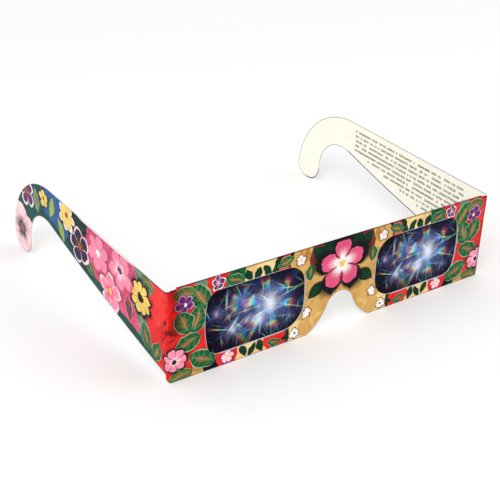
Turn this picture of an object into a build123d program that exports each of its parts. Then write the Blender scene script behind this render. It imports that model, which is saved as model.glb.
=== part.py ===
from build123d import *
import os
from math import cos, radians, sin

# Card glasses for looking at lights through diffraction film, in millimetres.
# X runs across the face, Y runs back from the printed front towards the ears, Z is up.
# The origin is on the ground, in the plane of the printed face and under the middle of the nose notch.
# The front stands on its lower edge, and the arms stand on the tips of their ear hooks.

os.makedirs("parts", exist_ok=True)

# Overall sizes
front_width = 148.0  # across the two folded corners
front_height = 37.4  # from the ground to the top of the fold
arm_length = 125.4  # folded corner to the back of an ear hook

# Sheets
card = 0.45  # printed card
film = 0.10  # diffraction film, and the glue around it
corner_radius = 1.5  # outside of the bend between the front and an arm

# Windows, cut so that this much card stays around them
window_inner_bar = 16.7  # middle of the nose to the nearest point of a window
window_outer_bar = 15.0  # outermost point of a window to the folded corner
window_sill = 5.6
window_lintel = 5.6
window_outer_bow = 1.8  # how far the outer side swells
window_inner_bow = 1.2  # how far the nose side swells
window_outer_fillet = 5.4
window_upper_nose_fillet = 8.0
window_lower_nose_fillet = 9.4
flap_window_play = 0.5  # the flap's windows are larger than the front's by this much all round

# Nose notch
notch_half_width = 14.7  # at the ground
notch_height = 14.8
notch_crown_radius = 6.2
notch_crown_end = radians(20)  # where the crown hands over to the flank, above level

# Film and glue between the front and its flap
film_margin = 2.6  # film hidden behind the card, all round a window
glue_inset = 0.8  # glue stays this far inside an edge of the card
glue_gap = 0.4  # glue stays this far from the film
flap_inset = 4.0  # each end of the flap stays this far short of the folded corner

# Arms, with lengths measured along the arm from the folded corner
left_splay = 3.0  # degrees that the arm stands open past square
right_splay = -1.0
arm_foot = 3.3  # ground to the arm's lower edge, where it leaves the corner
arm_rise = 3.2  # climb of the top edge, from the corner to the ear hook
hook_length = 39.6  # where the top edge turns down, to the hook's back
hook_width = 16.8
crook_radius = 16.2  # inside of the hook, over the ear
crook_height = 9.0  # ground to the middle of that curve
crook_turn = 107.0
tip_height = 7.0  # ground to where the hook's back turns under into the tip
tip_ear_radius = 8.2

# Places worked out from the sizes above
front_half = front_width / 2
stack = 2 * card + film
fold_radius = stack / 2
panel_height = front_height - fold_radius
panel_half = front_half - corner_radius
flap_half = front_half - flap_inset
window_left = window_inner_bar
window_right = front_half - window_outer_bar
window_top = front_height - window_lintel
window_middle = (window_sill + window_top) / 2

# The printed face looks along -Y, and the later layers lie behind it
printed_face = Plane.XZ
glue_plane = printed_face.offset(-card)
flap_plane = glue_plane.offset(-film)


def finish(piece, name):
    """Label a finished piece and write its file."""
    piece.part.label = name
    export_step(piece.part, f"parts/{name}.step")
    print(f"{name}: {piece.part.volume:.2f} cubic mm, {len(piece.part.solids())} solid(s)")


def window_outline(play):
    """One window on the positive side, with a flatter outer side and a rounder nose side."""
    left = window_left - play
    right = window_right + play
    low = window_sill - play
    high = window_top + play
    with BuildSketch() as window:
        with BuildLine():
            Line((left + window_inner_bow, low), (right - window_outer_bow, low))
            ThreePointArc(
                (right - window_outer_bow, low),
                (right, window_middle),
                (right - window_outer_bow, high),
            )
            Line((right - window_outer_bow, high), (left + window_inner_bow, high))
            ThreePointArc(
                (left + window_inner_bow, high),
                (left, window_middle),
                (left + window_inner_bow, low),
            )
        make_face()
        fillet(window.vertices().sort_by(Axis.X)[2:], window_outer_fillet + play)
        lower_nose_corner = window.vertices().sort_by_distance((left + window_inner_bow, low))[0]
        fillet(lower_nose_corner, window_lower_nose_fillet + play)
        upper_nose_corner = window.vertices().sort_by_distance((left + window_inner_bow, high))[0]
        fillet(upper_nose_corner, window_upper_nose_fillet + play)
    return window.sketch


def notch_outline():
    """Bell-shaped notch for the nose: a round crown and two flanks that flare to the ground."""
    crown_middle = notch_height - notch_crown_radius
    neck_x = notch_crown_radius * cos(notch_crown_end)
    neck_z = crown_middle + notch_crown_radius * sin(notch_crown_end)
    down_the_flank = (sin(notch_crown_end), -cos(notch_crown_end))
    with BuildSketch() as notch:
        with BuildLine():
            RadiusArc((0, notch_height), (neck_x, neck_z), notch_crown_radius)
            TangentArc((neck_x, neck_z), (notch_half_width, 0), tangent=down_the_flank)
            Line((notch_half_width, 0), (0, 0))
            mirror(about=Plane.YZ)
        make_face()
    return notch.sketch


def card_layer(name, plane, half_width, play):
    """A layer of the front: a long card with the nose notch and both windows cut through."""
    with BuildPart() as layer:
        with BuildSketch(plane):
            with Locations((0, panel_height / 2)):
                Rectangle(2 * half_width, panel_height)
            add(notch_outline(), mode=Mode.SUBTRACT)
            add(window_outline(play), mode=Mode.SUBTRACT)
            add(mirror(window_outline(play), about=Plane.YZ, mode=Mode.PRIVATE), mode=Mode.SUBTRACT)
        extrude(amount=-card)
    finish(layer, name)


def thin_sheet(name, patches):
    """Film or glue between the layers: rectangles given by their left, right, low and high edges."""
    with BuildPart() as sheet:
        with BuildSketch(glue_plane):
            for left, right, low, high in patches:
                with Locations(((left + right) / 2, (low + high) / 2)):
                    Rectangle(right - left, high - low)
        extrude(amount=-film)
    finish(sheet, name)


# Front of one folded card: a printed panel, a fold along its top and a flap behind
card_layer("front_panel", printed_face, panel_half, 0)
card_layer("rear_flap", flap_plane, flap_half, flap_window_play)

with BuildPart() as top_fold:
    with BuildSketch(Plane.YZ.offset(-flap_half)):
        with Locations((fold_radius, panel_height)):
            Circle(fold_radius)
            Circle(film / 2, mode=Mode.SUBTRACT)
        with Locations((fold_radius, panel_height - fold_radius)):
            Rectangle(stack, stack, mode=Mode.SUBTRACT)
    extrude(amount=2 * flap_half)
finish(top_fold, "top_fold")

# Films and glue, which share the gap between the panel and the flap
film_left = window_left - film_margin
film_right = window_right + film_margin
film_low = window_sill - film_margin
film_high = window_top + film_margin
thin_sheet("left_lens_film", [(-film_right, -film_left, film_low, film_high)])
thin_sheet("right_lens_film", [(film_left, film_right, film_low, film_high)])

glue_top = panel_height - glue_inset
glue_end = flap_half - glue_inset
lower_glue_start = notch_half_width + glue_inset
bridge_half = film_left - glue_gap
thin_sheet("bridge_glue_patch", [(-bridge_half, bridge_half, notch_height + glue_inset, film_high)])
thin_sheet("left_end_glue_patch", [(-glue_end, -film_right - glue_gap, film_low, film_high)])
thin_sheet("right_end_glue_patch", [(film_right + glue_gap, glue_end, film_low, film_high)])
thin_sheet("upper_glue_line", [(-glue_end, glue_end, film_high + glue_gap, glue_top)])
lower_lines = [
    (-glue_end, -lower_glue_start, glue_inset, film_low - glue_gap),
    (lower_glue_start, glue_end, glue_inset, film_low - glue_gap),
]
thin_sheet("lower_glue_lines", lower_lines)


def arm(name, side, splay):
    """An arm that narrows towards the ear and ends in a hook, drawn as its printed side shows it."""
    backwards = Vector(sin(radians(splay)), cos(radians(splay)))
    outwards = backwards.cross(Vector(0, 0, 1))
    corner = hinge + corner_radius * outwards - corner_radius * backwards
    hook_start = (arm_length - hook_length, panel_height + arm_rise)
    ear_side = arm_length - hook_width
    with BuildPart() as temple:
        with BuildSketch(Plane(origin=corner, x_dir=backwards, z_dir=outwards)):
            with BuildLine():
                top_edge = Line((corner_radius, panel_height), hook_start)
                back = TangentArc(top_edge @ 1, (arm_length, tip_height), tangent=top_edge % 1)
                heading = back % 1
                tip_radius = tip_height / (1 + heading.X)
                tip_low = (arm_length + tip_radius * heading.Y, 0)
                TangentArc(back @ 1, tip_low, tangent=heading)
                Line(tip_low, (ear_side + tip_ear_radius, 0))
                TangentArc((ear_side + tip_ear_radius, 0), (ear_side, tip_ear_radius), tangent=(-1, 0))
                Line((ear_side, tip_ear_radius), (ear_side, crook_height))
                crook = JernArc((ear_side, crook_height), (0, 1), crook_radius, crook_turn)
                TangentArc(crook @ 1, (corner_radius, arm_foot), tangent=crook % 1)
                Line((corner_radius, arm_foot), (corner_radius, panel_height))
            make_face()
        extrude(amount=-card)
        if side < 0:
            mirror(about=Plane.YZ, mode=Mode.REPLACE)
    finish(temple, name)


def crease(name, side, splay):
    """The bent corner between the front and an arm, whose lower edge climbs to the arm's foot."""
    bend = 90 - splay
    with BuildPart() as corner:
        with BuildSketch():
            with BuildLine():
                outside = CenterArc(hinge, corner_radius, -90, bend)
                inside = CenterArc(hinge, corner_radius - card, -90, bend)
                Line(outside @ 0, inside @ 0)
                Line(outside @ 1, inside @ 1)
            make_face()
        extrude(amount=panel_height)
        with BuildSketch(Plane.YZ.offset(hinge.X)):
            with BuildLine():
                foot = (hinge.Y, arm_foot)
                Polyline((hinge.Y - corner_radius, 0), (hinge.Y, 0), foot, close=True)
            make_face()
        extrude(amount=corner_radius, mode=Mode.SUBTRACT)
        if side < 0:
            mirror(about=Plane.YZ, mode=Mode.REPLACE)
    finish(corner, name)


# Both sides are drawn on the positive side, and the left one is mirrored
hinge = Vector(panel_half, corner_radius)
for side_name, side_sign, splay_angle in (("left", -1, left_splay), ("right", 1, right_splay)):
    arm(f"{side_name}_temple", side_sign, splay_angle)
    crease(f"{side_name}_crease", side_sign, splay_angle)
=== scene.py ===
import logging
from dataclasses import dataclass
from enum import Enum
from functools import cache, reduce
from math import atan2, cos, hypot, pi, radians, sin, tau
from typing import Any, Callable, Optional, Sequence, Union

import bpy
from mathutils import Matrix, Vector


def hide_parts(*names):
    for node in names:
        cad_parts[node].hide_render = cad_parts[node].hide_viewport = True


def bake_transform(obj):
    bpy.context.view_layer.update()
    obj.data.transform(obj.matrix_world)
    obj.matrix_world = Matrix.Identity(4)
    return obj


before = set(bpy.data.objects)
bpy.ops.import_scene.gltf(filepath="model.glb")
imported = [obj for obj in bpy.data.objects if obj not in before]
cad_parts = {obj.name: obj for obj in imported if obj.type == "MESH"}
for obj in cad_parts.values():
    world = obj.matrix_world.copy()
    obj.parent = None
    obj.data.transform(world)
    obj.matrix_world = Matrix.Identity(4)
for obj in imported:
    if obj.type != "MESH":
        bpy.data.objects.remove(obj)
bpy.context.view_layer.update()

LOG = logging.getLogger("card_glasses")
MM = 0.001
BEND_MAP = "unfolded"
MAP_SPAN = 100.0

# Sizes of the card that several pieces share, in millimetres
CARD = 0.45
CORNER_RADIUS = 1.5
FRONT_HALF = 72.5
PANEL_HEIGHT = 36.9
ARM_FOOT = 3.3
ARM_CLIMB = 0.038
WINDOW_MIDDLE = (37.85, 18.7)

Colour = tuple[float, float, float, float]


def screen_colour(*levels: int) -> Colour:
    """Turn a colour as a screen shows it into the linear light that a shader takes.

    Args:
        levels: Red, green and blue, from 0 to 255.

    Returns:
        The linear colour, opaque.
    """
    shares = [level / 255.0 for level in levels]
    linear = [x / 12.92 if x <= 0.04045 else ((x + 0.055) / 1.055) ** 2.4 for x in shares]
    return (*linear, 1.0)


class Ink(Enum):
    """The colours of the print; some of them also paint shade."""

    RED = screen_colour(226, 40, 40)
    # Only for painted shade in the crushed corner
    SHADE_MAROON = screen_colour(84, 8, 14)
    BRICK = screen_colour(122, 46, 36)
    OCHRE = screen_colour(212, 164, 92)
    SAND = screen_colour(238, 204, 140)
    GOLD = screen_colour(240, 202, 104)
    LEAF = screen_colour(8, 98, 50)
    DARK_LEAF = screen_colour(2, 48, 30)
    MOSS = screen_colour(74, 112, 46)
    LIME = screen_colour(158, 178, 92)
    SAGE = screen_colour(112, 146, 118)
    PALE_LEAF = screen_colour(148, 172, 130)
    RUST = screen_colour(150, 98, 54)
    TEAL = screen_colour(8, 74, 66)
    DARK_TEAL = screen_colour(2, 44, 42)
    BLUE = screen_colour(34, 92, 152)
    NAVY = screen_colour(28, 34, 72)
    PLUM = screen_colour(104, 38, 104)
    LILAC = screen_colour(190, 150, 188)
    HOT_PINK = screen_colour(222, 84, 124)
    PINK = screen_colour(244, 140, 168)
    BLUSH = screen_colour(248, 208, 214)
    WHITE = screen_colour(248, 244, 240)
    BLACK = screen_colour(14, 14, 18)


Stops = Sequence[tuple[float, Union[Ink, Colour]]]


def adds(
    operation: str, kind: str = "Math", turned: bool = False, output: int = 0
) -> Callable[..., "Wire"]:
    """Make a method of Wire that adds one node.

    Args:
        operation: What the node works out.
        kind: Math, or VectorMath for vectors and colours.
        turned: Whether the wire comes after the other value.
        output: The output to give back, which is 1 where vectors give a number.

    Returns:
        The method.
    """

    def method(wire: "Wire", *others: Any) -> "Wire":
        """Add the node."""
        values = (*others, wire) if turned else (wire, *others)
        return wire.shader.node(f"ShaderNode{kind}", *values, output=output, operation=operation)

    return method


class Wire:
    """A socket of a shader tree that can be used in sums, on either side of a number."""

    def __init__(self, shader: "Shader", socket: bpy.types.NodeSocket) -> None:
        """Keep the socket and the shader that it belongs to."""
        self.shader = shader
        self.socket = socket

    __add__ = __radd__ = adds("ADD")
    __sub__ = adds("SUBTRACT")
    __rsub__ = adds("SUBTRACT", turned=True)
    __mul__ = __rmul__ = adds("MULTIPLY")
    __truediv__ = adds("DIVIDE")
    __rtruediv__ = adds("DIVIDE", turned=True)
    __pow__ = adds("POWER")
    __abs__ = adds("ABSOLUTE")
    exponent = adds("EXPONENT")
    cosine = adds("COSINE")
    arctan2 = adds("ARCTAN2")
    floor = adds("FLOOR")
    fraction = adds("FRACT")
    at_least = adds("MAXIMUM")
    at_most = adds("MINIMUM")

    # For vectors and colours
    plus = adds("ADD", "VectorMath")
    minus = adds("SUBTRACT", "VectorMath")
    times = adds("MULTIPLY", "VectorMath")
    divided = adds("DIVIDE", "VectorMath")
    times_plus = adds("MULTIPLY_ADD", "VectorMath")
    unit = adds("NORMALIZE", "VectorMath")
    dot = adds("DOT_PRODUCT", "VectorMath", output=1)
    length = adds("LENGTH", "VectorMath", output=1)

    def rise(self, low: Any, high: Any) -> "Wire":
        """Climb smoothly from 0 at low to 1 at high, or fall where low is above high."""
        smooth = {"interpolation_type": "SMOOTHSTEP"}
        return self.shader.node("ShaderNodeMapRange", self, low, high, 0.0, 1.0, **smooth)

    def bell(self, width: float) -> "Wire":
        """A soft bump that is 1 at 0 and fades out over the given width."""
        share = self / width
        return (share * share * -1.0).exponent()

    def scaled(self, size: Any) -> "Wire":
        """This vector or colour times a number."""
        return self.shader.node("ShaderNodeVectorMath", self, sockets={3: size}, operation="SCALE")

    def turned(self, angle: "Wire") -> "Wire":
        """This flat vector turned by an angle in radians."""
        flat = {"rotation_type": "Z_AXIS"}
        return self.shader.node("ShaderNodeVectorRotate", self, sockets={3: angle}, **flat)

    def other(self, output: Union[int, str]) -> "Wire":
        """Another output of the same node."""
        return Wire(self.shader, self.socket.node.outputs[output])

    def parts(self, kind: str = "XYZ") -> tuple["Wire", "Wire", "Wire"]:
        """The three numbers of a vector, or of a colour where the kind is Color."""
        first = self.shader.node(f"ShaderNodeSeparate{kind}", self)
        return first, first.other(1), first.other(2)

    def ramp(self, stops: Stops, interpolation: str = "LINEAR") -> "Wire":
        """The colour at this place on a row of stops, from 0 to 1."""
        row = {"stops": stops, "interpolation": interpolation}
        return self.shader.node("ShaderNodeValToRGB", self, **row)

    def noise(self, scale: float, detail: float = 2.0, output: int = 0) -> "Wire":
        """Random clouds at this place, as a number, or as a colour at output 1."""
        sockets = {"Vector": self, "Scale": scale, "Detail": detail}
        return self.shader.node("ShaderNodeTexNoise", sockets=sockets, output=output)

    def drift(self, scale: float, size: float, detail: float = 1.0) -> "Wire":
        """A step by clouds that differ in each direction, and are 0 in the middle."""
        clouds = self.noise(scale, detail, 1)
        return clouds.minus((0.5, 0.5, 0.5)).scaled(size)

    def wander(self, scale: float, size: float, detail: float = 1.0) -> "Wire":
        """This place moved by such a step."""
        return self.plus(self.drift(scale, size, detail))

    def cells(self, scale: Any, randomness: float = 1.0) -> tuple["Wire", "Wire"]:
        """Scatter points over a plane.

        Args:
            scale: Points per millimetre.
            randomness: How uneven the scatter is.

        Returns:
            A chance colour for the nearest point, and the way from that point to this place.
        """
        sockets = {"Vector": self, "Scale": scale, "Randomness": randomness}
        plane = {"voronoi_dimensions": "2D"}
        cell = self.shader.node("ShaderNodeTexVoronoi", sockets=sockets, output=1, **plane)
        return cell, self.minus(cell.other("Position"))

    def bump(self, strength: float) -> "Wire":
        """The surface's direction with a relief on it that is this high in millimetres."""
        sockets = {"Strength": strength, "Distance": MM, "Height": self}
        return self.shader.node("ShaderNodeBump", sockets=sockets)


class Shader:
    """Adds nodes to the tree of a material, group or world."""

    def __init__(self, tree: bpy.types.NodeTree, owner: Optional[bpy.types.ID] = None) -> None:
        """Keep the tree and what it belongs to, and empty the tree."""
        self.tree, self.owner = tree, owner
        tree.nodes.clear()

    def node(
        self,
        kind: str,
        *values: Any,
        sockets: Optional[dict[Union[int, str], Any]] = None,
        output: Union[int, str] = 0,
        **settings: Any,
    ) -> Wire:
        """Add one node.

        Args:
            kind: The node's type.
            values: Values or wires for its first inputs, in order.
            sockets: The same for its other inputs, by number or name.
            output: The output to give back.
            settings: Its properties, or a ramp's stops, which are set before the inputs.

        Returns:
            That output as a wire, or an input where the node has no outputs.
        """
        made = self.tree.nodes.new(kind)
        for name, value in settings.items():
            if name == "stops":
                self._set_stops(made.color_ramp.elements, value)
            else:
                setattr(made.color_ramp if name == "interpolation" else made, name, value)
        for key, value in {**dict(enumerate(values)), **(sockets or {})}.items():
            if isinstance(value, Wire):
                self.tree.links.new(value.socket, made.inputs[key])
            else:
                made.inputs[key].default_value = value.value if isinstance(value, Ink) else value
        return Wire(self, (made.outputs or made.inputs)[output])

    @staticmethod
    def _set_stops(elements: bpy.types.ColorRampElements, stops: Stops) -> None:
        """Give a ramp its stops.

        Args:
            elements: What the ramp has.
            stops: Places and colours, in order of place.
        """
        while len(elements) < len(stops):
            elements.new(1.0)
        for element, (place, colour) in zip(elements, stops):
            element.position = place
            element.color = colour.value if isinstance(colour, Ink) else colour

    def place_mm(self) -> Wire:
        """The point's place in the part's own frame, in millimetres."""
        return self.node("ShaderNodeTexCoord", output="Object").scaled(1.0 / MM)

    def on_bend(self) -> Wire:
        """Where a point of a bend lies on the unfolded card, in millimetres."""
        return self.node("ShaderNodeUVMap", uv_map=BEND_MAP).scaled(MAP_SPAN)

    def end_group(self, result: Wire) -> bpy.types.NodeTree:
        """Give a group its result, and give the group back."""
        self.node("NodeGroupOutput", result)
        return self.tree


def mix(share: Wire, under: Any, over: Any, how: str = "MIX") -> Wire:
    """Lay one colour over another, as far as the share says."""
    settings = {"data_type": "RGBA", "blend_type": how}
    return share.shader.node("ShaderNodeMix", share, sockets={6: under, 7: over}, output=2, **settings)


def joined(across: Wire, along: Any, up: Any = 0.0) -> Wire:
    """Make a vector of three numbers."""
    return across.shader.node("ShaderNodeCombineXYZ", across, along, up)


def use(group: bpy.types.NodeTree, place: Wire, *values: Any) -> Wire:
    """Use a node group, which takes a place and then its other values in order."""
    return place.shader.node("ShaderNodeGroup", place, *values, node_tree=group)


def new_group(
    name: str, vectors: Sequence[str], numbers: Sequence[str] = (), colours: Sequence[str] = ()
) -> tuple[Shader, list[Wire]]:
    """Start a node group that gives a colour, for many places to use with their own numbers.

    Args:
        name: The group's name.
        vectors: The names of its first inputs, which are vectors.
        numbers: The names of the next, which are numbers.
        colours: The names of the last, which are colours.

    Returns:
        The shader of its tree, and its inputs as wires.
    """
    group = bpy.data.node_groups.new(name, "ShaderNodeTree")
    for kind, labels in (("Vector", vectors), ("Float", numbers), ("Color", colours)):
        for label in labels:
            group.interface.new_socket(label, in_out="INPUT", socket_type=f"NodeSocket{kind}")
    group.interface.new_socket("Result", in_out="OUTPUT", socket_type="NodeSocketColor")
    shader = Shader(group)
    start = shader.node("NodeGroupInput")
    return shader, [start.other(label) for label in (*vectors, *numbers, *colours)]


def flat_ways(
    turn: float, long_way: float = 1.0, short_way: float = 1.0
) -> tuple[tuple[float, float, float], tuple[float, float, float]]:
    """Two flat directions, along a turn in degrees and square to it, of the given lengths."""
    x, y = cos(radians(turn)), sin(radians(turn))
    return (x * long_way, y * long_way, 0.0), (-y * short_way, x * short_way, 0.0)


@cache
def blossom_group() -> bpy.types.NodeTree:
    """The painted flower, built once.

    Returns:
        The node group.
    """
    numbers = ("Radius", "Petals", "Cut", "Turn", "Eye size", "Halo", "Edge")
    colours = ("Ground", "Eye", "Heart", "Petal", "Rim", "Outline")
    shader, given = new_group("blossom", ("Place", "Middle"), numbers, colours)
    place, middle, radius, petals, cut, turn, eye_size, halo, edge, *inks = given
    ground, eye, heart, petal, rim, outline = inks
    arm = place.minus(middle)
    x, y, _ = arm.parts()
    spokes = (y.arctan2(x) - turn) * petals
    lobes = abs((spokes * 0.5).cosine())
    streaks = (spokes * 7.0).cosine() * 0.008
    share = arm.length() / ((1 - cut + lobes**0.55 * cut) * radius) + streaks
    shaded = mix(share.rise(1.32, 0.96) * halo, ground, Ink.BLACK)
    colour = mix((share + streaks * 9.0).rise(0.18, 0.58), heart, petal)
    colour = mix(share.rise(0.82, 0.88), colour, rim)
    parting = lobes.rise(0.2, 0.05) * share.rise(0.22, 0.5)
    line = share.rise(edge, edge + 0.03).at_least(parting * 0.85)
    colour = mix(line, colour, outline)
    colour = mix(share.rise(eye_size + 0.04, eye_size), colour, eye)
    return shader.end_group(mix(share.rise(1.02, 1.0), shaded, colour))


@cache
def leaf_group() -> bpy.types.NodeTree:
    """The painted leaf, built once.

    Returns:
        The node group.
    """
    vectors = ("Place", "Middle", "Long way", "Short way")
    colours = ("Ground", "Rib", "Heart", "Body", "Outline")
    shader, given = new_group("leaf", vectors, ("Point",), colours)
    place, middle, long_way, short_way, point, ground, rib, heart, body, outline = given
    arm = place.minus(middle)
    along = arm.dot(long_way)
    beside = abs(arm.dot(short_way))
    square = along * along
    share = beside / (1 - square).at_least(0.002) ** point + square * 0.05
    shaded = mix(share.rise(1.5, 1.0) * 0.28, ground, Ink.BLACK)
    veins = ((along * 2.2 - beside).fraction() - 0.5).bell(0.16)
    colour = mix(veins * 0.22, body, rib)
    colour = mix(share.rise(0.4, 0.85) * 0.3, colour, Ink.BLACK)
    patch = (square * 3.0 + share * share * 9.0).rise(1.2, 0.7)
    colour = mix(patch, colour, heart)
    colour = mix(share.rise(0.09, 0.05) * 0.5, colour, rib)
    colour = mix(share.rise(0.87, 0.91), colour, outline)
    return shader.end_group(mix(share.rise(1.04, 1.0), shaded, colour))


@cache
def dabs_group() -> bpy.types.NodeTree:
    """Short brush dabs lying every way, each a little lighter or darker than the ground.

    Returns:
        The node group.
    """
    numbers = ("Scale", "Strength", "Slimness")
    shader, given = new_group("dabs", ("Place",), numbers, ("Ground",))
    place, scale, strength, slimness, ground = given
    cell, arm = place.cells(scale, 0.9)
    chance, lean, tone = cell.parts("Color")
    along, beside, _ = arm.turned(lean * tau).scaled(scale).parts()
    share = abs(beside) * slimness / (1 - along * along * 5.0).at_least(0.01)
    force = share.rise(1.0, 0.7) * chance.rise(0.2, 0.22) * strength
    colour = mix(force * tone.rise(0.5, 1.0), ground, ground, "SCREEN")
    colour = mix(force * tone.rise(0.5, 0.0), colour, ground, "MULTIPLY")
    return shader.end_group(mix(force * share.rise(0.45, 0.8) * 0.3, colour, Ink.BLACK))


class Bloom(Enum):
    """A flower's colours: eye, heart, petal, rim and outline."""

    BRIDGE = (Ink.GOLD, Ink.WHITE, Ink.HOT_PINK, Ink.HOT_PINK, Ink.BLACK)
    SNOW = (Ink.GOLD, Ink.WHITE, Ink.WHITE, Ink.LILAC, Ink.BRICK)
    STAR = (Ink.BLACK, Ink.WHITE, Ink.WHITE, Ink.BLUSH, Ink.BLACK)
    BLUSHING = (Ink.GOLD, Ink.BLUSH, Ink.BLUSH, Ink.PINK, Ink.PLUM)
    VIOLET = (Ink.GOLD, Ink.LILAC, Ink.PLUM, Ink.PLUM, Ink.WHITE)
    PURPLE = (Ink.WHITE, Ink.PLUM, Ink.PLUM, Ink.PLUM, Ink.LILAC)
    DAISY = (Ink.BLACK, Ink.BLUSH, Ink.PINK, Ink.BLUSH, Ink.BLACK)
    SUN = (Ink.BLACK, Ink.GOLD, Ink.GOLD, Ink.SAND, Ink.BLACK)
    ROSE = (Ink.PLUM, Ink.BLUSH, Ink.PINK, Ink.PINK, Ink.HOT_PINK)
    CORAL = (Ink.GOLD, Ink.HOT_PINK, Ink.PINK, Ink.BLUSH, Ink.BLUSH)
    CANDY = (Ink.WHITE, Ink.PINK, Ink.PINK, Ink.BLUSH, Ink.HOT_PINK)
    DUSK = (Ink.RUST, Ink.BRICK, Ink.NAVY, Ink.BLACK, Ink.BLUSH)
    CREAM = (Ink.RUST, Ink.GOLD, Ink.GOLD, Ink.SAND, Ink.WHITE)
    PANSY = (Ink.RUST, Ink.BRICK, Ink.PLUM, Ink.LILAC, Ink.WHITE)
    SMUDGE = (Ink.RUST, Ink.NAVY, Ink.BLUSH, Ink.BLUSH, Ink.BLUSH)


@dataclass(frozen=True)
class Blossom:
    """A flower of the print, with petals round an eye, in millimetres on the unfolded card."""

    bloom: Bloom
    across: float
    up: float
    radius: float
    petals: int = 5
    cut: float = 0.42
    turn: float = 90.0
    eye_size: float = 0.18
    halo: float = 0.4
    edge: float = 0.86

    def over(self, place: Wire, ground: Wire) -> Wire:
        """Paint the flower.

        Args:
            place: The place on the unfolded card.
            ground: The colour underneath.

        Returns:
            The colour with the flower over it.
        """
        shape = (self.radius, float(self.petals), self.cut, radians(self.turn), self.eye_size)
        look = (self.halo, self.edge, ground, *self.bloom.value)
        return use(blossom_group(), place, (self.across, self.up, 0.0), *shape, *look)


@dataclass(frozen=True)
class Leaf:
    """A leaf of the print, from its middle, in millimetres on the unfolded card."""

    across: float
    up: float
    length: float
    width: float
    turn: float
    rib: Ink = Ink.PALE_LEAF
    heart: Ink = Ink.RUST
    body: Ink = Ink.LEAF
    outline: Ink = Ink.PALE_LEAF
    point: float = 0.7

    def over(self, place: Wire, ground: Wire) -> Wire:
        """Paint the leaf.

        Args:
            place: The place on the unfolded card.
            ground: The colour underneath.

        Returns:
            The colour with the leaf over it.
        """
        ways = flat_ways(self.turn, 2 / self.length, 2 / self.width)
        look = (self.point, ground, self.rib, self.heart, self.body, self.outline)
        return use(leaf_group(), place, (self.across, self.up, 0.0), *ways, *look)


def dark_leaf(across: float, up: float, length: float, width: float, turn: float) -> Leaf:
    """A pointed leaf in one dark green."""
    body = Ink.DARK_LEAF
    return Leaf(across, up, length, width, turn, Ink.LEAF, body, body, body, 1.0)


def lime_leaf(across: float, up: float, length: float, width: float, turn: float) -> Leaf:
    """A yellow-green leaf, with a darker rib."""
    return Leaf(across, up, length, width, turn, Ink.MOSS, Ink.LIME, Ink.LIME, Ink.MOSS)


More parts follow.
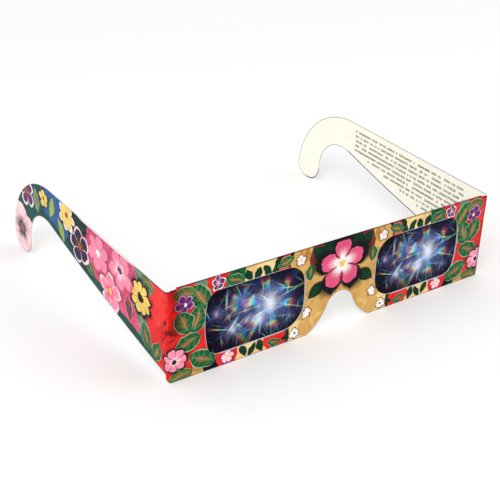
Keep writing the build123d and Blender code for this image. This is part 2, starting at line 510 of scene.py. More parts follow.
@dataclass(frozen=True)
class GardenPrint:
    """The flower print, on the card as it is before it is folded.

    The first number of a place runs from the middle of the nose outwards, round the corner and
    along the arm, and the second is the height. Both sides carry the same print.
    """

    name: str = "garden_print"
    length: float = 200.0
    low_band: float = 8.6
    high_band: float = 29.6
    arm_start: float = 74.8
    strip_start: float = 82.8
    strip_slope: float = 0.246
    dab_slimness: float = 4.6
    low_ground: Stops = (
        (0.0, Ink.OCHRE), (17.5, Ink.SAND), (22.0, Ink.DARK_LEAF), (25.0, Ink.RED),
        (34.0, Ink.SAND), (46.0, Ink.RED), (54.0, Ink.BLACK), (57.5, Ink.OCHRE),
        (64.0, Ink.RED), (80.0, Ink.LEAF), (88.0, Ink.HOT_PINK),
    )
    middle_ground: Stops = (
        (0.0, Ink.OCHRE), (30.0, Ink.RED), (86.0, Ink.SAGE), (93.0, Ink.HOT_PINK),
        (131.0, Ink.DARK_TEAL), (145.0, Ink.BLUE), (166.0, Ink.TEAL),
    )
    high_ground: Stops = (
        (0.0, Ink.DARK_LEAF), (9.0, Ink.BRICK), (15.5, Ink.OCHRE), (20.5, Ink.BLACK),
        (22.5, Ink.RED), (28.0, Ink.DARK_LEAF), (32.0, Ink.SAND), (43.5, Ink.LEAF),
        (49.0, Ink.RED), (57.0, Ink.SAGE), (62.0, Ink.RED), (83.0, Ink.SAGE),
        (92.0, Ink.HOT_PINK), (129.0, Ink.DARK_TEAL), (143.0, Ink.NAVY),
        (150.0, Ink.BLUE), (167.0, Ink.TEAL),
    )
    motifs: tuple[Union[Blossom, Leaf], ...] = (
        # Behind and beside the flower over the nose
        dark_leaf(9.4, 33.0, 12.0, 5.6, 40.0),
        dark_leaf(11.4, 19.0, 10.0, 5.0, -38.0),
        dark_leaf(4.6, 17.4, 6.0, 3.2, 78.0),
        Leaf(14.6, 27.0, 6.8, 4.2, 84.0),
        Blossom(Bloom.BRIDGE, 0.0, 26.6, 12.4, cut=0.5, eye_size=0.12, halo=0.9, edge=0.8),
        Blossom(Bloom.SNOW, 15.4, 10.2, 2.3),
        # Sprigs along the lower edge
        dark_leaf(36.0, 3.0, 6.2, 3.0, 70.0),
        dark_leaf(39.4, 2.6, 5.6, 2.8, 116.0),
        dark_leaf(43.2, 3.2, 6.0, 2.8, 66.0),
        Blossom(Bloom.STAR, 20.8, 2.8, 2.5, 6),
        Leaf(30.0, 2.2, 6.4, 3.6, 14.0),
        Blossom(Bloom.BLUSHING, 50.0, 2.9, 2.9),
        # Sprigs along the top
        Blossom(Bloom.SNOW, 19.2, 33.2, 2.4),
        Leaf(25.6, 34.8, 7.0, 4.0, -16.0),
        dark_leaf(33.6, 33.8, 6.0, 2.8, 58.0),
        dark_leaf(37.6, 33.6, 5.8, 2.8, 118.0),
        dark_leaf(41.4, 34.2, 5.6, 2.6, 64.0),
        Leaf(46.6, 33.8, 7.6, 5.0, 20.0),
        Blossom(Bloom.VIOLET, 53.8, 34.6, 2.9),
        # Outer end of the front
        Leaf(60.6, 31.2, 11.6, 8.2, 60.0),
        Leaf(67.0, 34.0, 9.2, 6.0, 4.0, body=Ink.MOSS),
        Blossom(Bloom.PURPLE, 66.8, 30.2, 3.8, 5, 0.5, 60.0),
        Leaf(62.2, 22.8, 10.8, 8.2, 105.0),
        Leaf(67.4, 23.0, 9.8, 7.4, 60.0),
        Leaf(66.0, 14.4, 10.6, 7.4, -14.0),
        Leaf(60.2, 5.8, 11.6, 8.0, 28.0),
        Leaf(69.0, 1.6, 9.6, 6.0, -12.0, body=Ink.MOSS),
        Blossom(Bloom.DAISY, 71.2, 8.6, 5.2, 7, 0.34, 20.0, halo=0.6),
        # Root of the arm
        Leaf(80.4, 9.4, 9.6, 6.0, 116.0),
        Leaf(87.4, 12.2, 10.0, 6.2, 70.0),
        Leaf(85.0, 34.4, 9.0, 4.8, 20.0, body=Ink.MOSS),
        Blossom(Bloom.SUN, 90.4, 26.2, 7.6, 9, 0.3, 10.0, 0.26, 0.7, 0.82),
        # Pink blossoms
        Leaf(99.0, 17.4, 9.6, 4.6, 80.0, heart=Ink.PLUM, body=Ink.BRICK, outline=Ink.BLUSH),
        Blossom(Bloom.ROSE, 104.4, 30.2, 9.0, 5, 0.46, 60.0),
        Blossom(Bloom.CORAL, 112.6, 17.8, 8.0, 5, 0.5, 20.0),
        Blossom(Bloom.CANDY, 120.6, 30.0, 8.4, 6, 0.44, 45.0),
        Leaf(127.4, 20.6, 8.4, 4.6, 36.0),
        # Dark flowers and gold
        Blossom(Bloom.DUSK, 135.6, 26.4, 7.8, 5, 0.34, 80.0, halo=0.1),
        Blossom(Bloom.CREAM, 145.4, 35.0, 6.4, 7, 0.4, 30.0),
        lime_leaf(151.0, 26.6, 9.6, 4.8, 66.0),
        lime_leaf(158.4, 33.2, 10.0, 5.0, 112.0),
        Blossom(Bloom.SUN, 165.6, 34.4, 4.4),
        Leaf(173.0, 31.0, 10.4, 5.6, 84.0, body=Ink.SAGE),
        # Ear hook
        Blossom(Bloom.PANSY, 182.4, 31.4, 7.4, 5, 0.44, 75.0),
        Blossom(Bloom.SMUDGE, 190.6, 10.6, 12.6, 5, 0.2, 90.0, 0.14, 0.1),
    )

    def _patches(self, flat: Wire) -> Wire:
        """Paint the coloured patches under the flowers, with wandering borders.

        Args:
            flat: The place on the unfolded card.

        Returns:
            The ground colour.
        """
        across, up, _ = flat.wander(0.34, 2.6).plus(flat.drift(0.11, 13.0, 2.0)).parts()
        share = across / self.length
        low, middle, high = (
            share.ramp([(start / self.length, ink) for start, ink in row], "CONSTANT")
            for row in (self.low_ground, self.middle_ground, self.high_ground)
        )
        colour = mix(up.rise(self.low_band, self.low_band + 0.3), low, middle)
        return mix(up.rise(self.high_band, self.high_band + 0.3), colour, high)

    @cache
    def tree(self) -> bpy.types.NodeTree:
        """Build the print once, as a node group.

        Returns:
            The group. It takes a place on the unfolded card and gives a colour.
        """
        shader, (flat,) = new_group(self.name, ("Place",))
        colour = self._patches(flat)
        # A brush never draws a clean line, so the place wanders a little
        near = flat.wander(0.26, 2.2)
        colour = use(dabs_group(), near, 0.15, 0.7, self.dab_slimness, colour)
        moved = near.plus((7.0, 31.0, 0.0))
        colour = use(dabs_group(), moved, 0.3, 0.5, self.dab_slimness, colour)
        # A dark strip along the arm's lower edge
        across, up, _ = near.parts()
        strip = up - (across - self.arm_start) * self.strip_slope - ARM_FOOT
        on_arm = across.rise(self.strip_start, self.strip_start + 1.0)
        colour = mix(strip.rise(3.0, 2.5) * on_arm, colour, Ink.TEAL)
        # Each motif waits for the one before it, as the renderer holds only so many at once
        for motif in self.motifs:
            near = colour.times_plus((1e-6, 1e-6, 1e-6), near)
            colour = motif.over(near, colour)
        # Washes of paint, lighter and darker
        tone = (flat.noise(0.16, 4.0) - 0.5) * 0.8 + (flat.noise(2.2) - 0.5) * 0.25 + 0.98
        return shader.end_group(colour.scaled(tone))


class CardFace(Enum):
    """Which run of the card a printed finish is for."""

    FRONT = "front"
    FOLD = "fold"
    LEFT_ARM = "left_arm"
    RIGHT_ARM = "right_arm"
    CREASE = "crease"


@dataclass(frozen=True)
class Gloss:
    """How a surface shines. These are the same all over it."""

    roughness: float
    specular: float
    coat: float = 0.0
    coat_roughness: float = 0.2
    emission: float = 0.0


BARE_BOARD = Gloss(0.72, 0.25)


def fresh_shader(name: str) -> Shader:
    """Make a material with an empty tree.

    Args:
        name: The material's name.

    Returns:
        The shader of its tree.
    """
    material = bpy.data.materials.new(name)
    material.use_nodes = True
    return Shader(material.node_tree, material)


def dress(gloss: Gloss, colour: Wire, **sockets: Wire) -> bpy.types.Material:
    """Add the surface shader and the material's output.

    Args:
        gloss: The shine.
        colour: The surface's colour, which it also glows in.
        sockets: What else changes over the surface.

    Returns:
        The material.
    """
    inputs = {
        "Roughness": gloss.roughness,
        "Specular IOR Level": gloss.specular,
        "Coat Weight": gloss.coat,
        "Coat Roughness": gloss.coat_roughness,
        "Emission Strength": gloss.emission,
        **sockets,
    }
    if gloss.emission:
        inputs["Emission Color"] = colour
    surface = colour.shader.node("ShaderNodeBsdfPrincipled", colour, sockets=inputs)
    colour.shader.node("ShaderNodeOutputMaterial", surface)
    return colour.shader.owner


@dataclass(frozen=True)
class CardStock:
    """The card's uncoated side and its cut edge."""

    inside: Colour = screen_colour(252, 248, 234)
    shade: Colour = screen_colour(240, 232, 212)
    core: Colour = screen_colour(242, 244, 246)
    core_shade: Colour = screen_colour(176, 188, 196)
    # A blue-grey line along the arms' under edges
    under_edge_blue: Colour = screen_colour(58, 92, 116)
    # Painted shade on a cut edge
    rim: Colour = screen_colour(152, 144, 142)

    def board(self, place: Wire) -> Wire:
        """Cream board with a few darker clouds and fibres.

        Args:
            place: The point.

        Returns:
            The colour.
        """
        clouds = place.noise(0.09, 3.0).rise(0.4, 0.75)
        fibres = place.times((1.0, 0.3, 3.2)).noise(1.3, 3.0)
        colour = mix(clouds * 0.35, self.inside, self.shade)
        return mix(fibres.rise(0.6, 0.72) * 0.22, colour, self.shade)

    def cut_edge(self, place: Wire) -> Wire:
        """White cut edge with small grey nicks."""
        nicks = place.noise(1.6, 3.0).rise(0.52, 0.74)
        return mix(nicks * 0.55, self.core, self.core_shade)


STOCK = CardStock()


@dataclass(frozen=True)
class RuledRows:
    """Rows of plain grey dashes on the inner side of an arm, in millimetres."""

    pitch: float = 2.3
    dash: float = 0.95
    start: float = 11.0
    end: float = 81.4
    rows_up: int = 15
    foot: float = 7.3
    slope: float = 0.24
    grey: Colour = screen_colour(112, 106, 100)

    def over(self, along: Wire, up: Wire, ground: Wire) -> Wire:
        """Draw the rows.

        Args:
            along: The distance along the arm.
            up: The height.
            ground: The colour underneath.

        Returns:
            The colour with the rows over it.
        """
        level = (up - along * ARM_CLIMB) / self.pitch
        row, in_row = level.floor(), level.fraction()
        step = (along + row * 0.37) / self.dash
        key = joined(step.floor(), row, 3.0)
        gap = key.shader.node("ShaderNodeTexWhiteNoise", key, noise_dimensions="3D")
        ink = gap.rise(0.2, 0.21) * in_row.rise(0.2, 0.3) * in_row.rise(0.74, 0.64)
        ink = ink * joined(along * 3.4, up * 1.4).noise(1.0).rise(0.34, 0.56)
        between = along.rise(self.start, self.start + 0.2) * along.rise(self.end + 0.2, self.end)
        under_top = row.rise(self.rows_up - 0.4, self.rows_up - 0.6)
        middle = (row + 0.5) * self.pitch + along * (ARM_CLIMB - self.slope)
        over_foot = middle.rise(self.foot, self.foot + 0.1)
        return mix(ink * between * under_top * over_foot, ground, self.grey)


@dataclass(frozen=True)
class Arc:
    """A round stretch of an outline, in millimetres."""

    across: float
    up: float
    radius: float

    def beyond(self, across: Wire, up: Wire) -> Wire:
        """How far a place lies outside the arc's circle, and below 0 inside it."""
        return joined(across - self.across, up - self.up).length() - self.radius


@dataclass(frozen=True)
class FrontOutline:
    """Cut edges of the front, in millimetres, the same on both sides."""

    half_width: float = 21.15
    half_height: float = 13.1
    inner_bow: float = 1.2
    outer_bow: float = 1.8
    outer_fillet: float = 5.4
    low_inner_fillet: float = 9.4
    high_inner_fillet: float = 8.0
    crown: Arc = Arc(0.0, 8.6, 6.2)
    flank: Arc = Arc(25.29, 17.8, 20.7)
    neck_up: float = 10.7
    notch_end: float = 20.0
    far_away: float = 40.0

    def inset(self, x: Wire, z: Wire) -> Wire:
        """How far a point of the front is from its nearest cut edge.

        Args:
            x: Its place across.
            z: Its height.

        Returns:
            The distance in millimetres.
        """
        side = abs(x)
        across, up = side - WINDOW_MIDDLE[0], z - WINDOW_MIDDLE[1]
        outer = across.rise(-0.1, 0.1)
        drop = self.high_inner_fillet - self.low_inner_fillet
        inner_fillet = up.rise(-0.1, 0.1) * drop + self.low_inner_fillet
        fillet = outer * self.outer_fillet + (1 - outer) * inner_fillet
        bow = outer * (self.outer_bow - self.inner_bow) + self.inner_bow
        level = up / self.half_height
        over_side = abs(across) - self.half_width + bow * level * level + fillet
        over_top = abs(up) - self.half_height + fillet
        outside = joined(over_side.at_least(0.0), over_top.at_least(0.0)).length()
        window = outside + over_side.at_least(over_top).at_most(0.0) - fillet
        over_crown = z.rise(self.neck_up, self.neck_up + 0.05)
        notch = self.crown.beyond(side, z) * over_crown
        notch = notch - self.flank.beyond(side, z) * (1 - over_crown)
        beside = side.rise(self.notch_end - 0.1, self.notch_end + 0.1) * self.far_away
        return window.at_most(notch + beside).at_most(z)


@dataclass(frozen=True)
class ArmOutline:
    """Outline of an arm, in millimetres along it from the bend and up from the ground."""

    hook_start: float = 84.3
    back: Arc = Arc(85.76, 1.61, 38.52)
    tip_height: float = 7.0
    back_tip: Arc = Arc(117.8, 6.14, 6.14)
    tip_along: float = 116.6
    crook: Arc = Arc(90.9, 9.0, 16.2)
    crook_start: float = 86.2
    ear_tip: Arc = Arc(115.3, 8.2, 8.2)
    hook_middle: float = 100.0
    foot_slope: float = 0.187
    foot_curve: float = 0.00069
    far_away: float = 200.0

    @staticmethod
    def _past(value: Wire, limit: float) -> Wire:
        """1 above a limit and 0 below it."""
        return value.rise(limit - 0.05, limit + 0.05)

    def _only(self, distance: Wire, *zones: Wire) -> Wire:
        """Keep a distance where all zones are 1, and make it large elsewhere."""
        return reduce(lambda total, zone: total + (1 - zone) * self.far_away, zones, distance)

    def insets(self, along: Wire, z: Wire) -> tuple[Wire, Wire, Wire]:
        """How far a point of an arm is from its outline.

        Args:
            along: The distance along the arm.
            z: The height.

        Returns:
            The distances in millimetres from the top edge, from the hook's back and crook, and
            from the under edge and the tip.
        """
        hook = self._past(along, self.hook_start)
        over_tip = self._past(z, self.tip_height)
        over_ear_tip = self._past(z, self.ear_tip.up)
        behind_tip = self._past(along, self.tip_along)
        in_crook = self._past(along, self.crook_start)
        hook_end = self._past(along, self.hook_middle)
        under_edge = ARM_FOOT + along * self.foot_slope + along * along * self.foot_curve
        top = self._only(along * ARM_CLIMB + PANEL_HEIGHT - z, 1 - hook)
        back = self._only(self.back.beyond(along, z) * -1.0, hook, over_tip)
        back_tip = self.back_tip.beyond(along, z) * -1.0
        back_tip = self._only(back_tip, behind_tip, 1 - over_tip)
        crook = self._only(self.crook.beyond(along, z), in_crook, over_ear_tip)
        shank = self._only(z - under_edge, 1 - in_crook)
        ear_tip = self.ear_tip.beyond(along, z) * -1.0
        ear_tip = self._only(ear_tip, hook_end, 1 - behind_tip, 1 - over_ear_tip)
        return top, back.at_most(back_tip).at_most(crook), shank.at_most(ear_tip)


@dataclass(frozen=True)
class Fold:
    """A sharp little fold in crushed card, in millimetres and degrees on the unfolded card."""

    across: float
    up: float
    lean: float
    reach: float
    width: float

    def on(self, place: Wire) -> Wire:
        """1 along the fold, and 0 away from it.

        Args:
            place: The place on the unfolded card.

        Returns:
            The share.
        """
        arm = place.minus((self.across, self.up, 0.0))
        along, beside = (arm.dot(way) for way in flat_ways(self.lean))
        return beside.bell(self.width) * along.bell(self.reach)


@dataclass(frozen=True)
class SoftSpot:
    """A soft round spot on crushed card, in millimetres on the unfolded card. It places a dent in the
    relief, painted shade and painted highlights.
    """

    across: float
    up: float
    width: float
    height: float

    def on(self, across: Wire, up: Wire) -> Wire:
        """1 in the middle of the spot, and 0 away from it."""
        return (across - self.across).bell(self.width) * (up - self.up).bell(self.height)


@dataclass(frozen=True)
class CrushedCorner:
    """The left corner, which has been crushed, in millimetres on the unfolded card. Its dent is in the
    relief, and its folds and bows are shown with painted shade and painted highlights.
    """

    # Heights and places of the painted shade and painted light on the two sides of the bend
    low: float = 17.0
    high: float = 24.0
    shade_middle: float = 71.3
    shade_end: tuple[float, float] = (73.8, 72.9)
    painted_light_middle: float = 78.0
    # Painted highlights, painted shade in the crushed spot, and a dent in the relief
    glint: SoftSpot = SoftSpot(74.0, 22.2, 0.8, 0.6)
    low_glint: SoftSpot = SoftSpot(73.4, 18.7, 0.8, 0.5)
    hollow_shade: SoftSpot = SoftSpot(72.8, 20.4, 3.0, 1.7)
    dent: SoftSpot = SoftSpot(74.2, 20.4, 3.4, 1.6)
    folds: tuple[Fold, ...] = (
        Fold(74.9, 24.1, 114.0, 2.2, 0.55),
        Fold(72.8, 20.3, 172.0, 3.2, 0.9),
        Fold(71.2, 19.6, 34.0, 1.9, 0.6),
        Fold(71.9, 17.3, 152.0, 1.5, 0.4),
        Fold(76.6, 21.6, 66.0, 1.7, 0.4),
        Fold(75.6, 17.6, -62.0, 2.0, 0.4),
    )

    def over(self, sheet: Wire, left: Any, colour: Wire) -> tuple[Wire, Wire]:
        """Paint shade into the folds, and painted shade, painted light and painted highlights on the
        card that bows on the two sides of the bend.

        Args:
            sheet: The place on the unfolded card.
            left: 1 on the left side, since both sides share one unfolded card.
            colour: The print's colour.

        Returns:
            The colour with its painted shade and highlights, and how deep the card is pushed in, in
            millimetres.
        """
        across, up, _ = sheet.parts()
        loose = joined(across, up).wander(0.45, 1.1, 2.0)
        folds = reduce(Wire.at_least, [fold.on(loose) for fold in self.folds])
        # Painted shade in front of the bend and painted light behind it, where the card bows
        over = up.rise(self.low, self.high) * left
        dark = (across - self.shade_middle).bell(2.8) * across.rise(*self.shade_end) * over
        light = (across - self.painted_light_middle).bell(4.6) * over
        # Painted highlights on the crushed card
        glint = self.glint.on(across, up).at_least(self.low_glint.on(across, up) * 0.6)
        colour = mix(dark * 0.9, colour, colour, "MULTIPLY")
        colour = mix(dark * 0.36, colour, Ink.SHADE_MAROON)
        light = (light * 0.85).at_least(glint * left * 0.9)
        colour = mix(light, colour, colour, "SCREEN")
        # Painted shade in the folds and in the middle of the crushed spot
        fold_shade = folds.at_least(self.hollow_shade.on(across, up) * 0.9)
        colour = mix(fold_shade * left * (1 - glint) * 0.94, colour, Ink.SHADE_MAROON)
        return colour, (self.dent.on(across, up) * 0.9 + folds * 0.5) * left


@dataclass(frozen=True)
class PrintedCard:
    """Card with the print on its outer side, laminated, and cream board inside."""

    face: CardFace
    side: int = 1
    splay: float = 0.0
    print_depth: float = 0.03
    arm_offset: float = 73.3
    fold_middle: tuple[float, float] = (0.5, 36.9)
    fold_end: float = 69.8
    top_line: float = 36.3
    notch_side: float = 15.0
    window_sill: float = 5.0
    bare_start: tuple[float, float] = (14.0, 26.0)
    bare_end: tuple[float, float] = (66.0, 58.0)
    dark_root: tuple[float, float] = (24.0, 14.0)
    gloss: Gloss = Gloss(0.42, 0.06, 0.015)
    artwork: GardenPrint = GardenPrint()

    def _lie(self, place: Wire) -> tuple[Wire, Wire, Wire]:
        """Find how a point lies in the card.

        Args:
            place: The point.

        Returns:
            Its place on the unfolded card, its depth, which is 0 on the printed side and below 0
            inside, and 1 where the sheet goes on into a bend and shows no bare edge.
        """
        x, y, z = place.parts()
        if self.face is CardFace.FRONT:
            bend = abs(x).rise(FRONT_HALF - 0.14, FRONT_HALF - 0.08)
            fold = z.rise(PANEL_HEIGHT - 0.1, PANEL_HEIGHT - 0.04)
            return joined(abs(x), z), y * -1.0, bend.at_least(fold)
        if self.face is CardFace.FOLD:
            middle_y, middle_z = self.fold_middle
            depth = joined(y - middle_y, z - middle_z).length() - middle_y
            return joined(abs(x), z + y), depth, y * 0.0
        lean = radians(self.splay)
        arm = place.minus((self.side * FRONT_HALF, CORNER_RADIUS, 0.0))
        depth = arm.dot((self.side * cos(lean), -sin(lean), 0.0)) - CORNER_RADIUS
        bend = y.rise(CORNER_RADIUS + 0.22, CORNER_RADIUS + 0.16)
        return joined(y + self.arm_offset, z), depth, bend

    def _edged(self, place: Wire, colour: Wire, inside: Wire) -> tuple[Wire, Wire]:
        """Draw thin lines along the edges: a pale line round the front's cut edges, a blue-grey line
        along the arms' under edges, dark lines along the top that are partly print and partly painted
        shade, painted shade on the grey top and back edges of the arms, and painted shade where the
        card turns away.

        Args:
            place: The point.
            colour: The printed side's colour.
            inside: The inner side's colour.

        Returns:
            Both colours with their edge lines.
        """
        x, y, z = place.parts()
        if self.face is CardFace.FRONT:
            edge = FrontOutline().inset(x, z)
            colour = mix(edge.rise(0.27, 0.17) * 0.85, colour, STOCK.core_shade)
            beside_notch = abs(x).rise(self.notch_side, self.notch_side + 0.6)
            # Dark line along the foot beside the notch: painted contact shade where the card meets the
            # floor
            colour = mix(z.rise(0.36, 0.24) * beside_notch * 0.6, colour, Ink.BLACK)
            # Dark line along the top beside the fold's end: partly print and partly painted shade
            beside_fold = abs(x).rise(self.fold_end, self.fold_end + 0.3)
            line = beside_fold * z.rise(self.top_line, self.top_line + 0.15) * 0.8
            # Painted shade at the right end, where the card turns away from the light
            turned_away_shade = x.rise(FRONT_HALF - 1.0, FRONT_HALF) * 0.4
            return mix(line.at_least(turned_away_shade), colour, Ink.BLACK), inside
        if self.face is CardFace.FOLD:
            # Dark line along the top of the fold: partly print and partly painted shade
            return mix(z.rise(PANEL_HEIGHT + 0.1, PANEL_HEIGHT + 0.3) * 0.6, colour, Ink.BLACK), inside
        along = (y - CORNER_RADIUS) / cos(radians(self.splay))
        top, back, under = ArmOutline().insets(along, z)
        if self.face is CardFace.LEFT_ARM:
            bare = y.rise(*self.bare_start) * y.rise(*self.bare_end) * 0.8
            colour = mix((bare - top).rise(0.0, 0.1), colour, STOCK.core)
            # Dark line along the top at the arm's root: partly print and partly painted shade
            root = y.rise(*self.dark_root) * top.rise(0.62, 0.46) * 0.8
            colour = mix(root, colour, Ink.BLACK)
        # The grey top and back edges of the arms are painted shade on the cut edge
        rim = top.at_most(back)
        colour = mix(rim.rise(0.3, 0.16) * 0.8, colour, STOCK.rim)
        colour = mix(under.rise(0.36, 0.22) * 0.7, colour, STOCK.under_edge_blue)
        inside = mix(rim.rise(0.44, 0.28) * 0.85, inside, STOCK.rim)
        return colour, mix(under.rise(0.6, 0.44), inside, STOCK.under_edge_blue)

    def _cut(self, place: Wire, depth: Wire, runs_on: Wire, colour: Wire) -> Wire:
        """Put board on the inner side and a pale core in the cut edges.

        Args:
            place: The point.
            depth: How far out it is.
            runs_on: 1 where the sheet goes on into a bend.
            colour: The printed side's colour.

        Returns:
            The colour on all sides of the card.
        """
        x, y, z = place.parts()
        core = STOCK.cut_edge(place)
        if self.face is CardFace.FRONT:
            # Painted shade on the cut edge beside the film inside a window
            in_window = abs(x).rise(self.notch_side + 0.5, self.notch_side + 1.0)
            in_window = in_window * z.rise(self.window_sill, self.window_sill + 0.3)
            core = mix(depth.rise(-0.12, -0.4) * in_window * 0.8, core, Ink.BLACK)
        inside = STOCK.board(place)
        if self.face is CardFace.RIGHT_ARM:
            inside = RuledRows().over(y - CORNER_RADIUS, z, inside)
        colour, inside = self._edged(place, colour, inside)
        bare = mix(depth.rise(0.02 - CARD, -CARD), core, inside)
        printed = depth.rise(-self.print_depth - 0.01, -self.print_depth)
        printed = printed.at_least(runs_on * depth.rise(-CARD, 0.05 - CARD))
        return mix(printed, bare, colour)

    def _bent(self, sheet: Wire, colour: Wire) -> Wire:
        """Wear the print along the middle of a bend, and darken its top with a line that is partly
        print and partly painted shade; on the right bend, paint shade where it turns away from the
        light.

        Args:
            sheet: The place on the unfolded card.
            colour: The print's colour.

        Returns:
            The colour.
        """
        across, up, _ = sheet.parts()
        worn = sheet.times((2.6, 0.8, 1.0)).noise(1.5, 3.0)
        line = (across - (FRONT_HALF + 1.3)).bell(0.5)
        colour = mix(worn.rise(0.5, 0.7) * line * 0.3, colour, Ink.BRICK)
        # Dark line along the top: partly print and partly painted shade
        colour = mix(up.rise(self.top_line, self.top_line + 0.15) * 0.8, colour, Ink.BLACK)
        if self.side > 0:
            # Painted shade on the right bend, where it turns away from the light
            turned_away_shade = (across - FRONT_HALF - 0.5).bell(0.7)
            colour = mix(turned_away_shade * 0.6, colour, Ink.BLACK)
        return colour

    def material(self) -> bpy.types.Material:
        """Build the finish.

        Returns:
            The material.
        """
        shader = fresh_shader(f"printed_card_{self.face.value}")
        bent, front = self.face is CardFace.CREASE, self.face is CardFace.FRONT
        place = shader.on_bend() if bent else shader.place_mm()
        sheet, *lie = (place,) if bent else self._lie(place)
        colour = use(self.artwork.tree(), sheet)
        height = place.noise(0.05, 1.0) * 0.9 + place.noise(1.7) * 0.018
        # The crushed left corner: a dent in the relief, with painted shade and highlights
        if front or self.side < 0:
            left = place.parts()[0].rise(0.0, -1.0) if front else 1.0
            colour, pushed_in = CrushedCorner().over(sheet, left, colour)
            height = height - pushed_in
        colour = self._bent(sheet, colour) if bent else self._cut(place, *lie, colour)
        return dress(self.gloss, colour, Normal=height.bump(0.6))


@dataclass(frozen=True)
class PlainCard:
    """Bare cream board, or its cut edge."""

    name: str
    all_edge: bool = False
    flap_back: float = 1.0

    def material(self) -> bpy.types.Material:
        """Build the finish.

        Returns:
            The material.
        """
        place = fresh_shader(self.name).place_mm()
        colour = STOCK.cut_edge(place)
        if not self.all_edge:
            _, y, _ = place.parts()
            at_back = y.rise(self.flap_back - 0.03, self.flap_back - 0.01)
            colour = mix(at_back, colour, STOCK.board(place))
        fibres = place.times((1.0, 1.0, 2.4)).noise(1.9, 4.0)
        height = fibres * 0.05 + place.noise(0.05, 1.0) * 0.8
        return dress(BARE_BOARD, colour, Normal=height.bump(0.5))


@dataclass(frozen=True)
class CreaseLining:
    """Cream board on the inside of a bend, stretched into fine upright wrinkles."""

    name: str

    def material(self) -> bpy.types.Material:
        """Build the finish.

        Returns:
            The material.
        """
        sheet = fresh_shader(self.name).on_bend()
        wrinkles = sheet.times((6.0, 0.5, 1.0)).noise(1.0)
        colour = mix(wrinkles.rise(0.45, 0.7) * 0.4, STOCK.inside, STOCK.shade)
        return dress(BARE_BOARD, colour, Normal=(wrinkles * 0.12).bump(0.5))


SPECTRUM: Stops = (
    (0.0, (0.02, 0.03, 0.3, 1.0)),
    (0.22, (0.02, 0.16, 0.95, 1.0)),
    (0.4, (0.03, 0.62, 0.85, 1.0)),
    (0.54, (0.12, 0.75, 0.3, 1.0)),
    (0.66, (0.95, 0.8, 0.14, 1.0)),
    (0.8, (1.0, 0.3, 0.04, 1.0)),
    (0.93, (0.8, 0.04, 0.1, 1.0)),
    (1.0, (0.3, 0.0, 0.15, 1.0)),
)


@cache
def starlight_group() -> bpy.types.NodeTree:
    """A point of light as the film spreads it, built once.

    Returns:
        The node group.
    """
    numbers = ("Size", "Rays", "Glow", "Seed", "Spectra", "Orders", "Turn")
    shader, given = new_group("starlight", ("Place", "Middle"), numbers, ("Heart", "Ground"))
    place, middle, size, ray_force, glow, seed, spectra, orders, turn, heart_tint, ground = given
    arm = place.minus(middle).scaled(1.0 / size)
    reach = arm.length()
    x, y, _ = arm.parts()
    # Thin rays whose lengths differ all round
    wheel = arm.unit().scaled(10.0).plus(joined(seed, seed))
    spokes = wheel.noise(1.0, 3.0)
    lengths = wheel.noise(0.3, 1.0).rise(0.34, 0.68) * 24.0 + 6.0
    share = reach / lengths
    rays = spokes.rise(0.55, 0.68) ** 2.0 * share.rise(1.1, 0.1) * ray_force
    added = (share * 0.9 + 0.1).ramp(SPECTRUM).scaled(rays * 1.3)
    # Spectra of the first and second order, in two rings
    spots = ((y.arctan2(x) + turn) * orders).cosine().rise(0.1, 1.0)
    patchy = arm.noise(0.22, 1.0).rise(0.3, 0.6) * spectra
    for ring, width, force in ((8.2, 3.0, 0.9), (15.4, 2.4, 0.25)):
        band = reach.rise(ring - 5.0, ring + 4.6).ramp(SPECTRUM)
        added = added.plus(band.scaled(spots * (reach - ring).bell(width) * patchy * force))
    # White heart in a patchy blue glow
    haze = arm.noise(0.2, 3.0).rise(0.34, 0.66) * reach.bell(10.0) * 0.65
    added = added.plus(haze.times((0.05, 0.13, 0.46)))
    tall = arm.times((1.0, 0.72, 1.0)).length()
    heart = tall.bell(2.1) * 0.8 + tall.bell(3.8) * 0.18 + reach.bell(6.4) * 0.06
    added = added.plus(heart_tint.scaled(heart * glow))
    white_rays = spokes.rise(0.6, 0.74) * share.rise(0.5, 0.0) * ray_force
    added = added.plus(heart_tint.scaled(white_rays * 0.5))
    return shader.end_group(ground.plus(added))


@dataclass(frozen=True)
class Starlight:
    """A point of light as the film spreads it, in millimetres from the window's middle."""

    across: float
    up: float
    size: float
    rays: float
    glow: float
    seed: float
    spectra: float = 0.2
    orders: int = 6
    turn: float = 0.3
    heart: Colour = (0.86, 0.9, 0.95, 1.0)

    def over(self, place: Wire, ground: Wire) -> Wire:
        """Add the light.

        Args:
            place: The place from the window's middle.
            ground: The colour before.

        Returns:
            The colour with the light in it.
        """
        light = (self.size, self.rays, self.glow, self.seed)
        spread = (self.spectra, float(self.orders), self.turn, self.heart)
        return use(starlight_group(), place, (self.across, self.up, 0.0), *light, *spread, ground)


